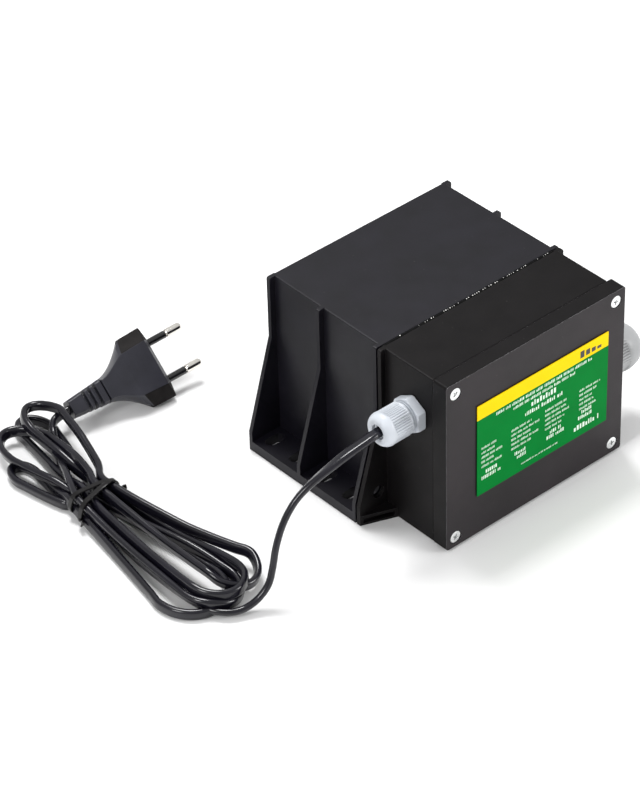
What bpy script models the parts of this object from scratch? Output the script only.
"""Potted 230 V / 24 V safety transformer with a wiring box and a mains lead.

The transformer is cast into a ribbed cup with a mounting flange on each side. A wiring box
is bonded to the cup's mouth, and a screwed cover closes it. The mains lead enters through a
small cable gland on the left, and a larger gland on the right is blanked with a plug.

Axes: X to the right, Y to the rear, Z up. The cover faces -Y. The origin is on the
underside, midway between the cover's face and the cup's rear wall.
"""

import math

import bmesh
import bpy
from mathutils import Euler, Matrix, Vector

mm = 0.001
GAP = 0.3 * mm                      # clearance that touching pieces keep

# ---- housing ------------------------------------------------------------------------------
HALF_WIDTH = 51.0 * mm              # side wall of the cup and of the box
REAR_DRAFT = 0.4 * mm               # the cup narrows by this much on each side at the rear
HEIGHT = 87.6 * mm
REAR_Y = 56.0 * mm
JOINT_Y = -14.6 * mm                # plane where the box is bonded to the cup
JOINT_HALF_GAP = 0.5 * mm
CUP_WALL = 2.2 * mm
BOX_WALL = 2.6 * mm

FLANGE_WIDTH = 16.0 * mm
FLANGE_THICKNESS = 5.1 * mm
RIB_THICKNESS = 2.0 * mm
RIB_LIP = 2.6 * mm                  # how far a rib stands off the wall at the top
RIB_BEND_Z = 56.0 * mm              # below this height a rib flares out to the flange
RIB_FOOT_Z = 10.0 * mm
RIB_TIP_RADIUS = 0.9 * mm
RIB_ROOT = 1.7 * mm                 # ribs and flange start this deep inside the wall
MIDDLE_RIB_Y = 22.0 * mm            # front face of the middle rib
SLOT_LENGTH = 10.4 * mm
SLOT_WIDTH = 5.4 * mm
SLOT_X = 58.4 * mm
SLOT_OFFSETS = (-25.5 * mm, -9.5 * mm, 9.5 * mm, 25.5 * mm)   # from the middle rib's centre

FOOT_DEPTH = 8.4 * mm               # how far the box's foot runs forward along its wall
FOOT_SKIN = 1.5 * mm
FOOT_LIP = 1.1 * mm
FOOT_RECESS = 4.0 * mm
CLAMP_HOLE_X = 56.0 * mm
CLAMP_HOLE_Z = 13.0 * mm
CLAMP_HOLE_RADIUS = 3.2 * mm

# ---- cover --------------------------------------------------------------------------------
COVER_WIDTH = 104.8 * mm
COVER_LOW_Z = 1.2 * mm
COVER_HIGH_Z = 89.0 * mm
COVER_FACE_Y = -56.0 * mm
COVER_DEPTH = 8.0 * mm
COVER_PLATE = 3.0 * mm
COVER_RIM = 3.4 * mm
COVER_CORNER_RADIUS = 1.2 * mm
GASKET_THICKNESS = 0.8 * mm
SCREW_X = 47.0 * mm
SCREW_LOW_Z = 6.2 * mm
SCREW_HIGH_Z = 83.2 * mm
SCREW_HEAD_RADIUS = 2.9 * mm
SCREW_SHANK_RADIUS = 1.4 * mm
SCREW_LENGTH = 16.0 * mm
BOSS_RADIUS = 4.2 * mm
BOSS_SETBACK = 0.4 * mm             # behind the box's front edge
BOSS_LENGTH = 20.0 * mm
SCREW_HOLE_DEPTH = 13.0 * mm
RECESS_ARM = 1.7 * mm               # half length of a screw's cross recess
RECESS_BLADE = 0.35 * mm
RECESS_DEPTH = 1.4 * mm
LABEL_LOW = (-35.1 * mm, 22.1 * mm)
LABEL_HIGH = (42.3 * mm, 70.4 * mm)
LABEL_THICKNESS = 0.3 * mm

BOX_FRONT_Y = COVER_FACE_Y + COVER_DEPTH + GASKET_THICKNESS + 2 * GAP
BOX_REAR_Y = JOINT_Y - JOINT_HALF_GAP
CUP_FRONT_Y = JOINT_Y + JOINT_HALF_GAP
MIDDLE_RIB_CENTRE = MIDDLE_RIB_Y + RIB_THICKNESS / 2

# ---- transformer, an EI 96 core with its stack lying along Y ----------------------------------
CORE_SIZE = (96.0 * mm, 40.0 * mm, 80.0 * mm)
CORE_CENTRE = (0.0, 19.0 * mm, 43.8 * mm)
TONGUE_WIDTH = 32.0 * mm
WINDOW_WIDTH = 16.0 * mm
WINDOW_HEIGHT = 48.0 * mm
BOBBIN_WALL = 1.2 * mm
PRIMARY_BUILD = 5.0 * mm
TAPE_BUILD = 0.7 * mm
SECONDARY_BUILD = 4.7 * mm
BOBBIN_REACH_Y = 33.3 * mm          # bobbin flange, from the tongue's middle to the front or rear

# ---- glands -------------------------------------------------------------------------------
GLAND_Y = -34.5 * mm
MAINS_GLAND_Z = 64.1 * mm
LOCKNUT_HEIGHT = 4.3 * mm
OUTPUT_GLAND_Z = 35.1 * mm

# ---- mains lead ------------------------------------------------------------------------------
CORD_RADIUS = 2.4 * mm
RUN_POINTS = (                      # from inside the gland's nut down to the wound hank
    (-66.4, -34.5, 64.1), (-72.3, -34.5, 63.9), (-77.5, -34.5, 63.2), (-88.0, -33.5, 60.8),
    (-97.3, -32.0, 57.0), (-105.5, -29.8, 52.0), (-112.5, -28.0, 45.6), (-118.5, -27.4, 37.4),
    (-123.2, -27.9, 28.0), (-126.6, -29.0, 18.4), (-129.9, -29.6, 11.4), (-135.4, -28.7, 6.0),
    (-141.5, -26.8, 3.2), (-146.5, -24.4, 2.8),
)
HANK_OUTLINE = (                    # plan view of the tied hank, narrow where the tie holds it
    (-140, -19), (-130, -19), (-119, -12), (-112, 4), (-114, 24), (-122, 46), (-128, 62),
    (-130, 76), (-129, 92), (-129, 110), (-130, 128), (-134, 142), (-143, 146), (-152, 138),
    (-158, 122), (-160, 104), (-156, 88), (-151, 74), (-156, 56), (-164, 36), (-168, 12),
    (-165, -8), (-157, -17), (-148, -19),
)
HANK_LOW_Z = 1.2 * mm
HANK_HIGH_Z = 13.2 * mm
TIE_Y = 75.5 * mm
TIE_WIDTH = 4.0 * mm
TIE_THICKNESS = 0.8 * mm
TIE_LOW_X = -152.9 * mm
TIE_HIGH_X = -129.2 * mm
TAIL_POINTS = (                     # from the plug's strain relief into the hank
    (-116.4, 122.5, 9.7), (-119.6, 122.9, 9.2), (-123.4, 123.0, 8.4), (-127.7, 122.6, 7.4),
)

# ---- plug: flat two-pin, lying on the bevelled side of its body --------------------------------
PLUG_LOCATION = (-68.0 * mm, 118.5 * mm, 14.3 * mm)    # middle of the face that carries the pins
PLUG_ROLL = math.radians(44.2)
PLUG_PITCH = math.radians(-5.4)     # the pins point up a little
PLUG_YAW = math.radians(-4.7)
PIN_SPACING = 18.6 * mm
PIN_RADIUS = 2.0 * mm
PIN_LENGTH = 19.0 * mm
SLEEVE_LENGTH = 10.0 * mm
PLUG_STATIONS = (                   # distance behind the face, half width, flat half width, half thickness
    (0.0, 17.6, 11.0, 6.8), (12.5, 17.2, 10.6, 6.8), (18.5, 12.2, 8.0, 6.5),
    (25.0, 7.8, 5.4, 5.8), (31.0, 5.9, 4.0, 5.0), (48.0, 4.3, 2.8, 4.0),
)
PLUG_SIDE_EDGE = 1.2 * mm           # half height of the narrow face at each side
PIN_CORE_RADIUS = 1.25 * mm         # the pin inside its sleeve

parts = bpy.data.collections.new("safety_transformer")
cutters = bpy.data.collections.new("cutters")


# ---- helpers --------------------------------------------------------------------------------
def clear_scene():
    """Empty the scene and link the two collections."""
    for item in list(bpy.data.objects):
        bpy.data.objects.remove(item, do_unlink=True)
    bpy.context.scene.collection.children.link(parts)
    bpy.context.scene.collection.children.link(cutters)


def finish_material(name, colour, roughness, metallic=0.0):
    """A Principled material, made once for each name."""
    found = bpy.data.materials.get(name)
    if found:
        return found
    made = bpy.data.materials.new(name)
    made.use_nodes = True
    shader = made.node_tree.nodes["Principled BSDF"]
    shader.inputs["Base Color"].default_value = (*colour, 1.0)
    shader.inputs["Roughness"].default_value = roughness
    shader.inputs["Metallic"].default_value = metallic
    return made


FINISHES = {
    "cup_plastic": ((0.038, 0.036, 0.045), 0.55, 0.0),
    "box_plastic": ((0.027, 0.024, 0.024), 0.5, 0.0),
    "grey_nylon": ((0.58, 0.61, 0.65), 0.4, 0.0),
    "dark_rubber": ((0.02, 0.02, 0.02), 0.75, 0.0),
    "adhesive": ((0.05, 0.05, 0.05), 0.7, 0.0),
    "zinc": ((0.75, 0.75, 0.74), 0.3, 1.0),
    "nickel": ((0.78, 0.76, 0.72), 0.2, 1.0),
    "label_film": ((0.0, 0.23, 0.04), 0.4, 0.0),
    "core_steel": ((0.25, 0.25, 0.27), 0.5, 1.0),
    "bobbin_nylon": ((0.55, 0.5, 0.4), 0.5, 0.0),
    "copper": ((0.7, 0.32, 0.16), 0.3, 1.0),
    "tape": ((0.75, 0.6, 0.1), 0.5, 0.0),
    "resin": ((0.03, 0.03, 0.035), 0.25, 0.0),
    "board": ((0.35, 0.22, 0.08), 0.5, 0.0),
    "brass": ((0.7, 0.5, 0.2), 0.3, 1.0),
    "glass": ((0.8, 0.85, 0.85), 0.05, 0.0),
    "black_pvc": ((0.02, 0.02, 0.022), 0.3, 0.0),
    "brown_pvc": ((0.16, 0.07, 0.03), 0.4, 0.0),
    "blue_pvc": ((0.03, 0.12, 0.45), 0.4, 0.0),
    "red_pvc": ((0.45, 0.03, 0.03), 0.4, 0.0),
    "white_nylon": ((0.8, 0.8, 0.78), 0.4, 0.0),
}


def place(mesh, name, finish, location=(0, 0, 0), rotation=(0, 0, 0), cutter=False):
    """Link a mesh as a named object, as a part or as a hidden cutter."""
    item = bpy.data.objects.new(name, mesh)
    item.location = location
    item.rotation_euler = rotation
    if cutter:
        cutters.objects.link(item)
        item.hide_render = True
        item.display_type = "WIRE"
        return item
    parts.objects.link(item)
    mesh.materials.append(finish_material(finish, *FINISHES[finish]))
    return item


def box(name, low, high, finish=None, cutter=False):
    """A box between two corners, with its origin in its middle."""
    low = Vector(low)
    high = Vector(high)
    mesh = bpy.data.meshes.new(name)
    shape = bmesh.new()
    bmesh.ops.create_cube(shape, size=1.0)
    bmesh.ops.scale(shape, vec=high - low, verts=shape.verts)
    shape.to_mesh(mesh)
    shape.free()
    return place(mesh, name, finish, (low + high) / 2, cutter=cutter)


def rod(name, radius, start, end, finish=None, cutter=False, segments=24):
    """A cylinder between two points."""
    start = Vector(start)
    end = Vector(end)
    mesh = bpy.data.meshes.new(name)
    shape = bmesh.new()
    bmesh.ops.create_cone(
        shape, cap_ends=True, segments=segments, radius1=radius, radius2=radius,
        depth=(end - start).length)
    shape.to_mesh(mesh)
    shape.free()
    turn = (end - start).to_track_quat("Z", "Y").to_euler()
    return place(mesh, name, finish, (start + end) / 2, turn, cutter)


def turned(name, profile, location, rotation, finish=None, steps=24, closed=False, cutter=False):
    """A turned piece. The profile lists (radius, height) down its outer side."""
    points = [(radius, 0.0, height) for radius, height in profile]
    edges = [(i, i + 1) for i in range(len(points) - 1)]
    if closed:
        edges.append((len(points) - 1, 0))
    mesh = bpy.data.meshes.new(name)
    mesh.from_pydata(points, edges, [])
    item = place(mesh, name, finish, location, rotation, cutter)
    screw = item.modifiers.new("turn", "SCREW")
    screw.axis = "Z"
    screw.steps = steps
    screw.render_steps = steps
    screw.use_merge_vertices = True
    screw.merge_threshold = 0.00001
    return item


def ring(name, outer, inner, low, high, location, rotation, finish, steps=24):
    """A plain ring about its local Z axis."""
    profile = [(outer, high), (outer, low), (inner, low), (inner, high)]
    return turned(name, profile, location, rotation, finish, steps, closed=True)


def outline_mesh(name, loops, thickness):
    """A flat outline, with any further loops as holes, extruded and welded."""
    curve = bpy.data.curves.new(name, "CURVE")
    curve.dimensions = "2D"
    curve.fill_mode = "BOTH"
    curve.extrude = thickness / 2
    for loop in loops:
        spline = curve.splines.new("POLY")
        spline.points.add(len(loop) - 1)
        spline.use_cyclic_u = True
        for point, (x, y) in zip(spline.points, loop):
            point.co = (x, y, 0.0, 1.0)
    return curve_to_mesh(curve, name)


def curve_to_mesh(curve, name):
    """Turn a curve into a welded mesh and remove the curve."""
    holder = bpy.data.objects.new(name + "_curve", curve)
    bpy.context.scene.collection.objects.link(holder)
    graph = bpy.context.evaluated_depsgraph_get()
    mesh = bpy.data.meshes.new_from_object(holder.evaluated_get(graph))
    bpy.data.objects.remove(holder, do_unlink=True)
    shape = bmesh.new()
    shape.from_mesh(mesh)
    bmesh.ops.remove_doubles(shape, verts=shape.verts, dist=0.00001)
    bmesh.ops.recalc_face_normals(shape, faces=shape.faces)
    shape.to_mesh(mesh)
    shape.free()
    return mesh


def upright_plate(name, loops, y_low, y_high, finish=None, cutter=False):
    """An outline in the XZ plane, extruded from y_low to y_high."""
    mesh = outline_mesh(name, loops, y_high - y_low)
    middle = (0.0, (y_low + y_high) / 2, 0.0)
    return place(mesh, name, finish, middle, (math.pi / 2, 0.0, 0.0), cutter)


def flat_plate(name, loops, z_low, z_high, finish=None, cutter=False):
    """An outline in the XY plane, extruded from z_low to z_high."""
    mesh = outline_mesh(name, loops, z_high - z_low)
    return place(mesh, name, finish, (0.0, 0.0, (z_low + z_high) / 2), cutter=cutter)


def rounded_rectangle(low, high, radius, steps=4):
    """Corner points of a rectangle with round corners, counter-clockwise."""
    corners = (
        (high[0] - radius, high[1] - radius, 0), (low[0] + radius, high[1] - radius, 1),
        (low[0] + radius, low[1] + radius, 2), (high[0] - radius, low[1] + radius, 3))
    points = []
    for x, y, quarter in corners:
        for i in range(steps + 1):
            angle = (quarter + i / steps) * math.pi / 2
            points.append((x + radius * math.cos(angle), y + radius * math.sin(angle)))
    return points


def boolean(item, other, operation):
    """Cut or join with another object, which is kept as a hidden guide."""
    step = item.modifiers.new(operation.lower(), "BOOLEAN")
    step.operation = operation
    step.solver = "EXACT"
    step.object = other
    if other.name in parts.objects:
        parts.objects.unlink(other)
        cutters.objects.link(other)
    other.hide_render = True
    other.display_type = "WIRE"


def cut(item, *others):
    """Subtract each cutter."""
    for other in others:
        boolean(item, other, "DIFFERENCE")


def join(item, *others):
    """Add each shape."""
    for other in others:
        boolean(item, other, "UNION")


def bevel(item, width, segments=2):
    """Round the sharp edges."""
    step = item.modifiers.new("round", "BEVEL")
    step.width = width
    step.segments = segments
    step.limit_method = "ANGLE"


def smooth_route(points, spacing):
    """Points along a Catmull-Rom curve through the given points in millimetres."""
    nodes = [Vector(point) * mm for point in points]
    nodes.insert(0, nodes[0] * 2 - nodes[1])
    nodes.append(nodes[-1] * 2 - nodes[-2])
    route = []
    for a, b, c, d in zip(nodes, nodes[1:], nodes[2:], nodes[3:]):
        count = max(1, round((c - b).length / spacing))
        for i in range(count):
            t = i / count
            route.append(0.5 * (
                2 * b + (c - a) * t + (2 * a - 5 * b + 4 * c - d) * t * t
                + (3 * b - a - 3 * c + d) * t * t * t))
    route.append(nodes[-2])
    return route


def tube(name, points, radius, finish, spacing, resolution=2):
    """A round cord or wire along a smooth route, with closed ends."""
    route = smooth_route(points, spacing)
    curve = bpy.data.curves.new(name, "CURVE")
    curve.dimensions = "3D"
    curve.bevel_depth = radius
    curve.bevel_resolution = resolution
    curve.use_fill_caps = True
    spline = curve.splines.new("POLY")
    spline.points.add(len(route) - 1)
    for point, place_at in zip(spline.points, route):
        point.co = (*place_at, 1.0)
    return place(curve_to_mesh(curve, name), name, finish)


# ---- housing ----------------------------------------------------------------------------------
def rib_outline(side, low_z=0.0):
    """A rib's outline in XZ on one side: straight at the top, flared out to the flange."""
    root = HALF_WIDTH - RIB_ROOT
    lip = HALF_WIDTH + RIB_LIP
    foot = HALF_WIDTH + FLANGE_WIDTH
    tip = RIB_TIP_RADIUS
    points = [
        (root, low_z), (foot, low_z), (foot, RIB_FOOT_Z), (lip, RIB_BEND_Z),
        (lip, HEIGHT - tip), (lip - 0.3 * tip, HEIGHT - 0.3 * tip), (lip - tip, HEIGHT), (root, HEIGHT)]
    # rotating the plate upright turns its Y into Z, and X stays
    return [(side * x, z) for x, z in points][::side]


def flared_rib(name, side, y_low, y_high):
    """One gusset rib between two Y planes."""
    return upright_plate(name, [rib_outline(side)], y_low, y_high, cutter=True)


def slot_outline(x, y):
    """An oval slot that runs along X."""
    radius = SLOT_WIDTH / 2
    reach = SLOT_LENGTH / 2 - radius
    steps = 6
    points = []
    for centre, start in ((x + reach, -math.pi / 2), (x - reach, math.pi / 2)):
        for i in range(steps + 1):
            angle = start + math.pi * i / steps
            points.append((centre + radius * math.cos(angle), y + radius * math.sin(angle)))
    return points


def potting_cup():
    """The ribbed cup that holds the transformer, open towards the front."""
    cup = box("potting_cup", (-HALF_WIDTH, CUP_FRONT_Y, 0.0), (HALF_WIDTH, REAR_Y, HEIGHT), "cup_plastic")
    for vertex in cup.data.vertices:
        if vertex.co.y > 0:
            vertex.co.x -= math.copysign(REAR_DRAFT, vertex.co.x)
    bevel(cup, 0.8 * mm)
    rib_planes = (
        (CUP_FRONT_Y, CUP_FRONT_Y + RIB_THICKNESS),
        (MIDDLE_RIB_Y, MIDDLE_RIB_Y + RIB_THICKNESS),
        (REAR_Y - RIB_THICKNESS, REAR_Y))
    for side in (-1, 1):
        inner = HALF_WIDTH - RIB_ROOT
        outer = HALF_WIDTH + FLANGE_WIDTH
        xs = sorted((side * inner, side * outer))
        flange = box(
            f"cup_flange{side}", (xs[0], CUP_FRONT_Y, 0.0), (xs[1], REAR_Y, FLANGE_THICKNESS), cutter=True)
        join(cup, flange)
        for number, (low, high) in enumerate(rib_planes):
            join(cup, flared_rib(f"cup_rib{side}_{number}", side, low, high))
        for number, offset in enumerate(SLOT_OFFSETS):
            outline = slot_outline(side * SLOT_X, MIDDLE_RIB_CENTRE + offset)
            cut(cup, flat_plate(
                f"slot{side}_{number}", [outline], -1.0 * mm, FLANGE_THICKNESS + 1.0 * mm, cutter=True))
        x = side * CLAMP_HOLE_X
        cut(cup, rod(
            f"cup_clamp_hole{side}", CLAMP_HOLE_RADIUS, (x, CUP_FRONT_Y - mm, CLAMP_HOLE_Z),
            (x, CUP_FRONT_Y + RIB_THICKNESS + mm, CLAMP_HOLE_Z), cutter=True, segments=16))
    cavity = box(
        "cup_cavity", (-HALF_WIDTH + CUP_WALL, CUP_FRONT_Y - 1.0 * mm, CUP_WALL),
        (HALF_WIDTH - CUP_WALL, REAR_Y - CUP_WALL, HEIGHT - CUP_WALL), cutter=True)
    for vertex in cavity.data.vertices:
        if vertex.co.y > 0:
            vertex.co.x -= math.copysign(REAR_DRAFT, vertex.co.x)
    cut(cup, cavity)
    return cup


def connection_box():
    """The wiring box: a frame with its own ribs, hollow feet and screw bosses."""
    frame = box(
        "connection_box", (-HALF_WIDTH, BOX_FRONT_Y, 0.0), (HALF_WIDTH, BOX_REAR_Y, HEIGHT), "box_plastic")
    bevel(frame, 0.8 * mm)
    for side in (-1, 1):
        join(frame, flared_rib(f"box_rib{side}", side, BOX_REAR_Y - RIB_THICKNESS, BOX_REAR_Y))
        join(frame, box_foot(side))
        cut(frame, foot_recess(side))
        x = side * CLAMP_HOLE_X
        cut(frame, rod(
            f"box_clamp_hole{side}", CLAMP_HOLE_RADIUS, (x, BOX_REAR_Y - RIB_THICKNESS - mm, CLAMP_HOLE_Z),
            (x, BOX_REAR_Y + mm, CLAMP_HOLE_Z), cutter=True, segments=16))
    cut(frame, box(
        "box_inside", (-HALF_WIDTH + BOX_WALL, BOX_FRONT_Y - 1.0 * mm, BOX_WALL),
        (HALF_WIDTH - BOX_WALL, BOX_REAR_Y + 1.0 * mm, HEIGHT - BOX_WALL), cutter=True))
    for number, (x, z) in enumerate(screw_places()):
        join(frame, rod(
            f"box_boss{number}", BOSS_RADIUS, (x, BOX_FRONT_Y + BOSS_SETBACK, z),
            (x, BOX_FRONT_Y + BOSS_LENGTH, z), cutter=True, segments=20))
        cut(frame, rod(
            f"box_screw_hole{number}", SCREW_SHANK_RADIUS + GAP, (x, BOX_FRONT_Y - mm, z),
            (x, BOX_FRONT_Y + SCREW_HOLE_DEPTH, z), cutter=True, segments=16))
    cut(frame, gland_hole("mains", -1, MAINS_GLAND_Z, MAINS_GLAND))
    cut(frame, gland_hole("output", 1, OUTPUT_GLAND_Z, OUTPUT_GLAND))
    return frame


def foot_outline(side):
    """The box's triangular foot in plan."""
    wall = HALF_WIDTH - RIB_ROOT
    outer = HALF_WIDTH + FLANGE_WIDTH
    rear = BOX_REAR_Y
    points = [
        (wall, rear), (wall, rear - FOOT_DEPTH), (HALF_WIDTH, rear - FOOT_DEPTH),
        (outer, rear - RIB_THICKNESS), (outer, rear)]
    return [(side * x, y) for x, y in points][::side]


def box_foot(side):
    """The solid foot, before its recess."""
    return flat_plate(f"foot{side}", [foot_outline(side)], 0.0, FLANGE_THICKNESS, cutter=True)


def foot_recess(side):
    """A groove along the foot's slanted front edge."""
    wall = HALF_WIDTH + 1.0 * mm
    outer = HALF_WIDTH + FLANGE_WIDTH + 2.0 * mm
    front = BOX_REAR_Y - FOOT_DEPTH
    slope_end = BOX_REAR_Y - RIB_THICKNESS
    points = [
        (wall, front - 3.0 * mm), (outer, slope_end - 4.0 * mm),
        (outer - 4.0 * mm, slope_end + 0.2 * mm), (wall, front + FOOT_RECESS)]
    outline = [(side * x, y) for x, y in points][::side]
    return flat_plate(
        f"foot_recess{side}", [outline], FOOT_LIP, FLANGE_THICKNESS - FOOT_SKIN, cutter=True)


def screw_places():
    """Where the four cover screws stand, as (x, z)."""
    return [(x, z) for z in (SCREW_LOW_Z, SCREW_HIGH_Z) for x in (-SCREW_X, SCREW_X)]


def joint_adhesive():
    """The bead that bonds the box to the cup."""
    outer = rounded_rectangle(
        (-HALF_WIDTH + 0.5 * mm, 0.4 * mm), (HALF_WIDTH - 0.5 * mm, HEIGHT - 0.5 * mm), 0.6 * mm, 2)
    inner = rounded_rectangle(
        (-HALF_WIDTH + 2.1 * mm, 2.1 * mm), (HALF_WIDTH - 2.1 * mm, HEIGHT - 2.1 * mm), 0.4 * mm, 2)
    half = JOINT_HALF_GAP - GAP
    upright_plate("joint_adhesive", [outer, inner], JOINT_Y - half, JOINT_Y + half, "adhesive")


def front_cover():
    """The cover: a plate with a rim and four drilled corner bosses."""
    low = (-COVER_WIDTH / 2, COVER_LOW_Z)
    high = (COVER_WIDTH / 2, COVER_HIGH_Z)
    rear = COVER_FACE_Y + COVER_DEPTH
    outer = rounded_rectangle(low, high, COVER_CORNER_RADIUS)
    cover = upright_plate("front_cover", [outer], COVER_FACE_Y, rear, "box_plastic")
    bevel(cover, 0.6 * mm)
    inner = rounded_rectangle(
        (low[0] + COVER_RIM, low[1] + COVER_RIM), (high[0] - COVER_RIM, high[1] - COVER_RIM), 1.0 * mm, 2)
    cut(cover, upright_plate(
        "cover_hollow", [inner], COVER_FACE_Y + COVER_PLATE, rear + 1.0 * mm, cutter=True))
    for number, (x, z) in enumerate(screw_places()):
        join(cover, rod(
            f"cover_boss{number}", BOSS_RADIUS, (x, COVER_FACE_Y + 1.0 * mm, z), (x, rear - 0.4 * mm, z),
            cutter=True, segments=20))
        sink = SCREW_HEAD_RADIUS + GAP
        neck = SCREW_SHANK_RADIUS + GAP
        profile = [
            (0.0, 1.0 * mm), (sink, 1.0 * mm), (sink, -0.5 * mm), (neck, -2.3 * mm),
            (neck, -COVER_DEPTH - 1.0 * mm), (0.0, -COVER_DEPTH - 1.0 * mm)]
        cut(cover, turned(
            f"cover_hole{number}", profile, (x, COVER_FACE_Y, z), (math.pi / 2, 0, 0), steps=16, cutter=True))
    return cover


def cover_gasket():
    """The flat gasket between the cover's rim and the box."""
    front = COVER_FACE_Y + COVER_DEPTH + GAP
    outer = rounded_rectangle(
        (-HALF_WIDTH + 0.3 * mm, 1.6 * mm), (HALF_WIDTH - 0.3 * mm, HEIGHT - 0.3 * mm), 1.6 * mm)
    inner = rounded_rectangle(
        (-HALF_WIDTH + 2.2 * mm, 3.4 * mm), (HALF_WIDTH - 2.2 * mm, HEIGHT - 2.2 * mm), 0.6 * mm, 2)
    upright_plate("cover_gasket", [outer, inner], front, front + GASKET_THICKNESS, "dark_rubber")


def cover_screws():
    """Four countersunk cross-head screws."""
    for number, (x, z) in enumerate(screw_places(), start=1):
        profile = [
            (0.0, -0.1 * mm), (SCREW_HEAD_RADIUS, -0.25 * mm), (SCREW_HEAD_RADIUS, -0.6 * mm),
            (SCREW_SHANK_RADIUS, -2.2 * mm), (SCREW_SHANK_RADIUS, -SCREW_LENGTH + 1.0 * mm),
            (0.0, -SCREW_LENGTH)]
        name = f"cover_screw_{number}"
        screw = turned(name, profile, (x, COVER_FACE_Y, z), (math.pi / 2, 0, 0), "zinc", steps=16)
        top = COVER_FACE_Y - mm
        deep = COVER_FACE_Y + RECESS_DEPTH
        for label, wide, tall in (("a", RECESS_ARM, RECESS_BLADE), ("b", RECESS_BLADE, RECESS_ARM)):
            cut(screw, box(
                f"recess_{number}{label}", (x - wide, top, z - tall), (x + wide, deep, z + tall),
                cutter=True))


def rating_label():
    """The thin rating plate on the cover."""
    rear = COVER_FACE_Y - GAP
    box(
        "rating_label", (LABEL_LOW[0], rear - LABEL_THICKNESS, LABEL_LOW[1]),
        (LABEL_HIGH[0], rear, LABEL_HIGH[1]), "label_film")


# ---- transformer --------------------------------------------------------------------------------
def around_core(half_x, half_y, low_z, high_z):
    """Corners of a box centred on the core's tongue."""
    x, y, _ = CORE_CENTRE
    return (x - half_x, y - half_y, low_z), (x + half_x, y + half_y, high_z)


def laminated_core():
    """The E-I stack with its two windows."""
    size = Vector(CORE_SIZE)
    centre = Vector(CORE_CENTRE)
    core = box("laminated_core", centre - size / 2, centre + size / 2, "core_steel")
    for side in (-1, 1):
        middle = side * (TONGUE_WIDTH + WINDOW_WIDTH) / 2
        low = (middle - WINDOW_WIDTH / 2, centre.y - size.y, centre.z - WINDOW_HEIGHT / 2)
        high = (middle + WINDOW_WIDTH / 2, centre.y + size.y, centre.z + WINDOW_HEIGHT / 2)
        cut(core, box(f"window{side}", low, high, cutter=True))


def winding(name, inner_x, inner_y, build, low_z, high_z, finish):
    """A rectangular coil around the tongue, with round outer corners."""
    y = CORE_CENTRE[1]
    radius = 2.0 * mm
    inner = rounded_rectangle((-inner_x, y - inner_y), (inner_x, y + inner_y), radius, 2)
    outer = rounded_rectangle(
        (-inner_x - build, y - inner_y - build), (inner_x + build, y + inner_y + build), radius + build, 3)
    flat_plate(name, [outer, inner], low_z, high_z, finish)


def coil_assembly():
    """Bobbin, primary, insulating tape and secondary; returns how far they reach along X."""
    low = CORE_CENTRE[2] - WINDOW_HEIGHT / 2 + 0.5 * mm
    high = CORE_CENTRE[2] + WINDOW_HEIGHT / 2 - 0.5 * mm
    inner_x = TONGUE_WIDTH / 2 + 0.4 * mm
    inner_y = CORE_SIZE[1] / 2 + 0.4 * mm
    flange_x = TONGUE_WIDTH / 2 + WINDOW_WIDTH - 0.6 * mm
    bobbin = box("winding_bobbin", *around_core(flange_x, BOBBIN_REACH_Y, low, high), "bobbin_nylon")
    waist_low = low + BOBBIN_WALL
    waist_high = high - BOBBIN_WALL
    y = CORE_CENTRE[1]
    wide = 2 * flange_x
    waist = rounded_rectangle((-wide, y - wide), (wide, y + wide), mm, 1)
    hub_x = inner_x + BOBBIN_WALL
    hub_y = inner_y + BOBBIN_WALL
    hub = rounded_rectangle((-hub_x, y - hub_y), (hub_x, y + hub_y), 1.6 * mm, 2)
    cut(bobbin, flat_plate("bobbin_waist", [waist, hub], waist_low, waist_high, cutter=True))
    cut(bobbin, box("bobbin_bore", *around_core(inner_x, inner_y, low - mm, high + mm), cutter=True))
    coil_low = waist_low + GAP
    coil_high = waist_high - GAP
    reach_x = hub_x + GAP
    reach_y = hub_y + GAP
    layers = (
        ("primary_winding", PRIMARY_BUILD, "copper"), ("winding_tape", TAPE_BUILD, "tape"),
        ("secondary_winding", SECONDARY_BUILD, "copper"))
    for name, build, finish in layers:
        winding(name, reach_x, reach_y, build, coil_low, coil_high, finish)
        reach_x += build + GAP
        reach_y += build + GAP
    return reach_x


def thermal_fuse(coil_reach):
    """The thermal link that lies on the winding, inside the core's window."""
    radius = 1.0 * mm
    x = coil_reach + radius + 0.1 * mm
    y = CORE_CENTRE[1] - 6.0 * mm
    z = CORE_CENTRE[2]
    rod("thermal_fuse", radius, (x, y, z - 4.5 * mm), (x, y, z + 4.5 * mm), "zinc", segments=12)


def potting_resin():
    """The cast resin: blocks before and behind the core, joined over and under it."""
    inset = CUP_WALL + GAP
    side = HALF_WIDTH - REAR_DRAFT - inset
    resin = box(
        "potting_resin", (-side, CUP_FRONT_Y + GAP, inset), (side, REAR_Y - inset, HEIGHT - inset), "resin")
    core = Vector(CORE_SIZE) / 2
    centre = Vector(CORE_CENTRE)
    room = 0.4 * mm
    cut(resin, box(
        "resin_core_room", (-HALF_WIDTH, centre.y - core.y - room, centre.z - core.z - room),
        (HALF_WIDTH, centre.y + core.y + room, centre.z + core.z + room), cutter=True))
    coil_x = TONGUE_WIDTH / 2 + WINDOW_WIDTH - 0.2 * mm
    coil_y = BOBBIN_REACH_Y + 0.4 * mm
    low_z = centre.z - WINDOW_HEIGHT / 2
    high_z = centre.z + WINDOW_HEIGHT / 2
    low, high = around_core(coil_x, coil_y, low_z, high_z)
    cut(resin, box("resin_coil_room", (low[0], CUP_FRONT_Y - mm, low[2]), high, cutter=True))


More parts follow.
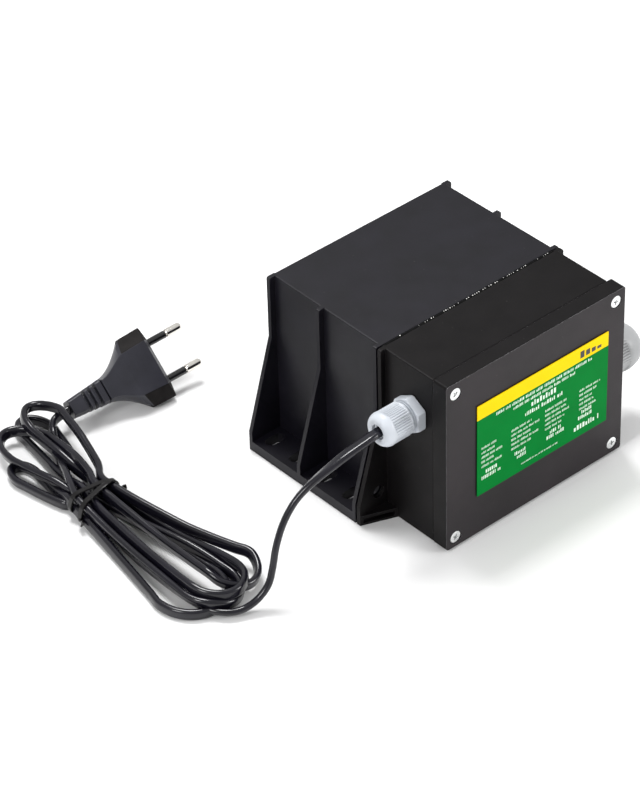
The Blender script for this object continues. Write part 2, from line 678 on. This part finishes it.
# ---- wiring compartment ---------------------------------------------------------------------------
BOARD_REAR_Y = -15.5 * mm
BOARD_THICKNESS = 1.6 * mm
BOARD_FRONT_Y = BOARD_REAR_Y - BOARD_THICKNESS
FUSE_CENTRE = (-16.0 * mm, -27.0 * mm, 26.0 * mm)
FUSE_LENGTH = 20.0 * mm
FUSE_RADIUS = 2.5 * mm
FUSE_CAP_LENGTH = 5.2 * mm
FUSE_BASE_HEIGHT = 9.0 * mm
BLOCK_LOW = (8.0 * mm, 22.0 * mm)
BLOCK_HIGH = (32.0 * mm, 40.0 * mm)
BLOCK_FRONT_Y = -31.0 * mm


def wiring_board():
    """The insulating board over the resin that carries the fuse and the terminals."""
    outline = rounded_rectangle((-36.0 * mm, 16.0 * mm), (40.0 * mm, 68.0 * mm), 2.0 * mm, 2)
    upright_plate("wiring_board", [outline], BOARD_FRONT_Y, BOARD_REAR_Y, "board")


def fuse_holder():
    """Base, two spring clips and the cartridge of the primary fuse."""
    x, y, z = FUSE_CENTRE
    base_rear = BOARD_FRONT_Y - GAP
    base_front = base_rear - 3.0 * mm
    half = FUSE_LENGTH / 2 + 3.0 * mm
    tall = FUSE_BASE_HEIGHT / 2
    base = box("fuse_base", (x - half, base_front, z - tall), (x + half, base_rear, z + tall), "bobbin_nylon")
    bevel(base, 0.4 * mm, 1)
    clip_rear = base_front - GAP
    for number, side in enumerate((-1, 1), start=1):
        middle = x + side * (FUSE_LENGTH / 2 - 2.6 * mm)
        arm = FUSE_RADIUS + 0.35 * mm
        sheet = 0.6 * mm
        low = (middle - 2.0 * mm, y - 1.4 * mm, z - arm - sheet)
        high = (middle + 2.0 * mm, clip_rear, z + arm + sheet)
        clip = box(f"fuse_clip_{number}", low, high, "brass")
        cut(clip, box(
            f"clip_mouth{number}", (middle - 3.0 * mm, y - 3.0 * mm, z - arm),
            (middle + 3.0 * mm, clip_rear - sheet, z + arm), cutter=True))
        cap_outer = x + side * FUSE_LENGTH / 2
        cap_inner = cap_outer - side * FUSE_CAP_LENGTH
        cap = rod(
            f"fuse_cap_{number}", FUSE_RADIUS, (cap_inner, y, z), (cap_outer, y, z), "nickel", segments=16)
        cut(cap, rod(
            f"cap_bore{number}", FUSE_RADIUS - 0.35 * mm, (cap_inner - side * mm, y, z),
            (cap_outer - side * 0.4 * mm, y, z), cutter=True, segments=16))
    reach = FUSE_LENGTH / 2 - 0.8 * mm
    rod("fuse_glass", FUSE_RADIUS - 0.65 * mm, (x - reach, y, z), (x + reach, y, z), "glass", segments=16)


def terminal_block():
    """A two-pole screw terminal block for the 24 V output."""
    rear = BOARD_FRONT_Y - GAP
    block = box(
        "terminal_block", (BLOCK_LOW[0], BLOCK_FRONT_Y, BLOCK_LOW[1]), (BLOCK_HIGH[0], rear, BLOCK_HIGH[1]),
        "white_nylon")
    bevel(block, 0.6 * mm, 1)
    middle_z = (BLOCK_LOW[1] + BLOCK_HIGH[1]) / 2
    number = 1
    for x in (14.0 * mm, 26.0 * mm):
        for z in (middle_z - 5.0 * mm, middle_z + 5.0 * mm):
            cut(block, rod(
                f"screw_well{number}", 2.3 * mm, (x, BLOCK_FRONT_Y - mm, z), (x, BLOCK_FRONT_Y + 7.0 * mm, z),
                cutter=True, segments=16))
            screw = rod(
                f"terminal_screw_{number}", 1.9 * mm, (x, BLOCK_FRONT_Y + 3.0 * mm, z),
                (x, BLOCK_FRONT_Y + 6.7 * mm, z), "brass", segments=16)
            cut(screw, box(
                f"screw_slot{number}", (x - 3.0 * mm, BLOCK_FRONT_Y + 2.0 * mm, z - 0.3 * mm),
                (x + 3.0 * mm, BLOCK_FRONT_Y + 4.0 * mm, z + 0.3 * mm), cutter=True))
            number += 1
        for end, sign in ((BLOCK_LOW[1], -1), (BLOCK_HIGH[1], 1)):
            cut(block, rod(
                f"wire_way{number}_{sign}", 1.9 * mm, (x, BLOCK_FRONT_Y + 9.6 * mm, end + sign * mm),
                (x, BLOCK_FRONT_Y + 9.6 * mm, end - sign * 6.0 * mm), cutter=True, segments=12))


LEADS = (                           # name, colour, then the route in millimetres
    ("mains_core_live", "brown_pvc", (
        (-35.8, -33.2, 65.2), (-33.0, -31.6, 65.5), (-30.5, -25.5, 60.0), (-31.5, -22.5, 48.0),
        (-33.0, -21.8, 38.0), (-32.4, -21.6, 31.0), (-30.6, -21.8, 26.6))),
    ("mains_core_neutral", "blue_pvc", (
        (-35.8, -35.6, 62.8), (-31.0, -34.4, 60.0), (-24.0, -30.5, 57.0), (-15.0, -27.0, 54.8),
        (-8.4, -26.0, 54.0))),
    ("primary_lead_live", "brown_pvc", (
        (-1.6, -21.6, 26.4), (2.0, -20.2, 32.0), (2.5, -19.2, 42.0), (-6.0, -19.2, 56.0),
        (-17.0, -19.4, 68.0), (-21.5, -18.6, 76.0), (-22.4, -16.5, 78.6), (-22.5, -14.2, 79.0))),
    ("primary_lead_neutral", "blue_pvc", (
        (4.4, -26.0, 54.0), (9.0, -25.4, 57.0), (9.5, -24.4, 66.0), (3.0, -22.5, 75.0),
        (-4.0, -18.0, 78.8), (-6.0, -14.2, 79.0))),
    ("secondary_lead_a", "red_pvc", (
        (14.0, -21.4, 37.0), (14.0, -21.4, 43.0), (15.0, -24.5, 55.0), (17.0, -24.5, 68.0),
        (18.0, -20.0, 77.6), (18.0, -14.2, 79.0))),
    ("secondary_lead_b", "black_pvc", (
        (26.0, -21.4, 37.0), (26.0, -21.4, 43.0), (28.0, -24.5, 55.0), (30.0, -24.5, 68.0),
        (30.0, -20.0, 77.6), (30.0, -14.2, 79.0))),
)
SPLICE_START = (-7.9 * mm, -26.0 * mm, 54.0 * mm)
SPLICE_END = (3.9 * mm, -26.0 * mm, 54.0 * mm)


def inner_leads():
    """The insulated cores and leads, and the crimp connector between two of them."""
    for name, finish, points in LEADS:
        tube(name, points, 1.1 * mm, finish, 5.0 * mm, resolution=1)
    rod("splice_connector", 2.2 * mm, SPLICE_START, SPLICE_END, "bobbin_nylon", segments=16)


# ---- cable glands -----------------------------------------------------------------------------------
# Every length is measured outwards from the box's side wall; "af" is the hexagon's width.
MAINS_GLAND = {
    "thread": 6.0 * mm, "bore": 3.3 * mm, "af": 15.5 * mm, "hexagon": 4.7 * mm, "collar": 6.4 * mm,
    "collar_end": 12.2 * mm, "nut": 8.0 * mm, "nut_start": 6.6 * mm, "nut_skirt": 16.5 * mm,
    "nut_end": 20.8 * mm, "mouth": 3.8 * mm, "front": 5.2 * mm, "stub": 9.0 * mm, "locknut_af": 15.5 * mm,
}
OUTPUT_GLAND = {
    "thread": 9.0 * mm, "bore": 5.6 * mm, "af": 22.0 * mm, "hexagon": 5.2 * mm, "collar": 9.4 * mm,
    "collar_end": 15.0 * mm, "nut": 11.2 * mm, "nut_start": 7.0 * mm, "nut_skirt": 17.6 * mm,
    "nut_end": 27.6 * mm, "mouth": 5.4 * mm, "front": 6.6 * mm, "stub": 9.0 * mm, "locknut_af": 22.0 * mm,
}


def gland_axis(side, z):
    """Location on the wall and the rotation that turns local Z outwards."""
    return (side * HALF_WIDTH, GLAND_Y, z), (0.0, side * math.pi / 2, 0.0)


def gland_hole(label, side, z, size):
    """The clearance hole in the wall."""
    radius = size["thread"] + GAP
    return rod(
        f"{label}_wall_hole", radius, (side * (HALF_WIDTH + mm), GLAND_Y, z),
        (side * (HALF_WIDTH - BOX_WALL - mm), GLAND_Y, z), cutter=True, segments=24)


def hexagon_prism(name, across, low, high, location, rotation, finish=None, cutter=False):
    """A hexagonal prism about local Z, with two corners along local X."""
    mesh = bpy.data.meshes.new(name)
    shape = bmesh.new()
    radius = across / math.sqrt(3)
    bmesh.ops.create_cone(
        shape, cap_ends=True, segments=6, radius1=radius, radius2=radius, depth=high - low)
    bmesh.ops.rotate(shape, matrix=Matrix.Rotation(math.pi / 6, 3, "Z"), verts=shape.verts)
    bmesh.ops.translate(shape, vec=(0, 0, (low + high) / 2), verts=shape.verts)
    shape.to_mesh(mesh)
    shape.free()
    return place(mesh, name, finish, location, rotation, cutter)


def gland(label, side, z, size):
    """Body, seal ring, cage, seal insert, dome nut and locknut of one cable gland."""
    spot, turn = gland_axis(side, z)
    hexagon = size["hexagon"]
    thread = size["thread"]
    collar = size["collar"]
    cage_start = size["collar_end"] - 3.4 * mm

    body_end = size["collar_end"] - 3.7 * mm
    body = turned(f"{label}_gland_body", [
        (collar, body_end), (collar, mm), (thread, mm), (thread, -size["stub"]),
        (size["bore"], -size["stub"]), (size["bore"], body_end)],
        spot, turn, "grey_nylon", closed=True)
    flats = hexagon_prism(f"{label}_flats", size["af"], GAP, hexagon, spot, turn, cutter=True)
    cut(flats, rod(
        f"{label}_flats_bore", size["bore"] + 0.5 * mm, (side * (HALF_WIDTH - mm), GLAND_Y, z),
        (side * (HALF_WIDTH + hexagon + mm), GLAND_Y, z), cutter=True))
    join(body, flats)
    groove_edge = thread + 1.3 * mm
    groove = turned(f"{label}_seal_groove", [
        (groove_edge, mm), (groove_edge, -0.5 * mm), (thread, -0.5 * mm), (thread, mm)],
        spot, turn, closed=True, cutter=True)
    cut(body, groove)
    ring(
        f"{label}_gland_seal_ring", thread + 1.05 * mm, thread + GAP, GAP, 0.75 * mm, spot, turn,
        "dark_rubber")

    skirt = size["nut_skirt"]
    cage_inner = size["mouth"] + 0.9 * mm
    cage_outer = collar - 0.2 * mm
    cage_end = skirt - 2.2 * mm
    turned(f"{label}_gland_cage", [
        (collar - 1.4 * mm, cage_end), (cage_outer, cage_start + mm), (cage_outer, cage_start),
        (cage_inner, cage_start), (cage_inner, cage_end)], spot, turn, "grey_nylon", closed=True)
    insert_inner = size["mouth"] - 1.1 * mm
    insert_end = skirt - 2.4 * mm
    turned(f"{label}_gland_insert", [
        (cage_inner - GAP, insert_end), (cage_inner - GAP, cage_start),
        (insert_inner, cage_start), (insert_inner, insert_end)], spot, turn, "dark_rubber", closed=True)

    end = size["nut_end"]
    inner = collar + GAP
    dome = []
    steps = 5
    for i in range(steps + 1):
        angle = math.pi / 2 * i / steps
        radius = size["front"] + (size["nut"] - size["front"]) * math.sin(angle)
        dome.append((radius, skirt + (end - skirt) * math.cos(angle)))
    nut_profile = [(size["mouth"], end)] + dome + [
        (size["nut"], size["nut_start"]), (inner, size["nut_start"]), (inner, skirt - 1.6 * mm),
        (size["mouth"], skirt + 0.6 * mm)]
    turned(f"{label}_gland_nut", nut_profile, spot, turn, "grey_nylon", steps=28, closed=True)

    locknut = hexagon_prism(
        f"{label}_locknut", size["locknut_af"], -BOX_WALL - LOCKNUT_HEIGHT - GAP, -BOX_WALL - GAP, spot,
        turn, "grey_nylon")
    cut(locknut, rod(
        f"{label}_locknut_bore", thread + GAP, (side * (HALF_WIDTH - BOX_WALL + mm), GLAND_Y, z),
        (side * (HALF_WIDTH - BOX_WALL - 6.0 * mm), GLAND_Y, z), cutter=True))


def blanking_plug():
    """The plug that closes the output gland until a cable is fitted."""
    spot, turn = gland_axis(1, OUTPUT_GLAND_Z)
    radius = OUTPUT_GLAND["mouth"] - 1.4 * mm
    head = OUTPUT_GLAND["mouth"] - 0.4 * mm
    end = OUTPUT_GLAND["nut_end"]
    turned("output_blanking_plug", [
        (0.0, end - 1.2 * mm), (head, end - 1.4 * mm), (head, end - 3.4 * mm), (radius, end - 3.6 * mm),
        (radius, 6.0 * mm), (0.0, 6.0 * mm)], spot, turn, "dark_rubber")


# ---- mains lead -----------------------------------------------------------------------------------------
def mains_lead():
    """The sheathed lead through the gland, its free run, its tied hank and its tail."""
    start = -HALF_WIDTH + 14.0 * mm
    end = RUN_POINTS[0][0] * mm + GAP
    rod(
        "mains_cord_entry", CORD_RADIUS, (start, GLAND_Y, MAINS_GLAND_Z), (end, GLAND_Y, MAINS_GLAND_Z),
        "black_pvc", segments=12)
    tube("mains_cord_run", RUN_POINTS, CORD_RADIUS, "black_pvc", 9.0 * mm)
    tube("mains_cord_tail", TAIL_POINTS, CORD_RADIUS, "black_pvc", 9.0 * mm)
    outline = [(x * mm, y * mm) for x, y in HANK_OUTLINE]
    hank = flat_plate("mains_cord_hank", [outline[::-1]], HANK_LOW_Z, HANK_HIGH_Z, "black_pvc")
    bevel(hank, 2.5 * mm, 2)


def twist_tie():
    """The band that holds the hank together."""
    low = (TIE_LOW_X, HANK_LOW_Z - GAP)
    high = (TIE_HIGH_X, HANK_HIGH_Z + GAP)
    inner = rounded_rectangle(low, high, 2.0 * mm, 3)
    outer = rounded_rectangle(
        (low[0] - TIE_THICKNESS, low[1] - TIE_THICKNESS), (high[0] + TIE_THICKNESS, high[1] + TIE_THICKNESS),
        2.6 * mm, 3)
    half = TIE_WIDTH / 2
    upright_plate("twist_tie", [outer, inner], TIE_Y - half, TIE_Y + half, "white_nylon")


def plug_pose():
    """Empty that carries the plug's pieces: X along the pins, Y across them."""
    holder = bpy.data.objects.new("plug_pose", None)
    parts.objects.link(holder)
    holder.location = PLUG_LOCATION
    holder.rotation_euler = Euler((PLUG_ROLL, PLUG_PITCH, PLUG_YAW), "XYZ")
    return holder


def plug_body_mesh():
    """A loft through eight-sided sections, from the pin face back to the lead."""
    mesh = bpy.data.meshes.new("plug_body")
    shape = bmesh.new()
    rows = []
    for back, half, flat, thick in PLUG_STATIONS:
        edge = min(PLUG_SIDE_EDGE, thick * mm * 0.3)
        section = (
            (half * mm, -edge), (half * mm, edge), (flat * mm, thick * mm), (-flat * mm, thick * mm),
            (-half * mm, edge), (-half * mm, -edge), (-flat * mm, -thick * mm), (flat * mm, -thick * mm))
        rows.append([shape.verts.new((-back * mm, y, z)) for y, z in section])
    for near, far in zip(rows, rows[1:]):
        for i in range(len(near)):
            j = (i + 1) % len(near)
            shape.faces.new((near[i], near[j], far[j], far[i]))
    shape.faces.new(rows[0])
    shape.faces.new(rows[-1])
    bmesh.ops.recalc_face_normals(shape, faces=shape.faces)
    shape.to_mesh(mesh)
    shape.free()
    return mesh


def plug():
    """Moulded body, two pins and their insulating sleeves."""
    holder = plug_pose()
    body = place(plug_body_mesh(), "plug_body", "black_pvc")
    body.parent = holder
    out = (0.0, math.pi / 2, 0.0)
    core = PIN_CORE_RADIUS
    for number, side in enumerate((1, -1), start=1):
        root = (0.0, side * PIN_SPACING / 2, 0.0)
        tip = PIN_LENGTH
        shoulder = SLEEVE_LENGTH + GAP
        pin = turned(f"plug_pin_{number}", [
            (0.0, tip), (0.9 * mm, tip - 0.2 * mm), (1.7 * mm, tip - 0.9 * mm), (PIN_RADIUS, tip - 2.0 * mm),
            (PIN_RADIUS, shoulder), (core, shoulder), (core, GAP), (0.0, GAP)], root, out, "nickel", steps=16)
        pin.parent = holder
        sleeve = ring(
            f"pin_sleeve_{number}", PIN_RADIUS - 0.1 * mm, core + GAP, GAP, SLEEVE_LENGTH, root, out,
            "black_pvc", steps=16)
        sleeve.parent = holder


# ---- build ------------------------------------------------------------------------------------------------
def main():
    clear_scene()
    potting_cup()
    connection_box()
    joint_adhesive()
    front_cover()
    cover_gasket()
    cover_screws()
    rating_label()
    laminated_core()
    thermal_fuse(coil_assembly())
    potting_resin()
    wiring_board()
    fuse_holder()
    terminal_block()
    inner_leads()
    gland("mains", -1, MAINS_GLAND_Z, MAINS_GLAND)
    gland("output", 1, OUTPUT_GLAND_Z, OUTPUT_GLAND)
    blanking_plug()
    mains_lead()
    twist_tie()
    plug()
    bpy.context.view_layer.update()


main()
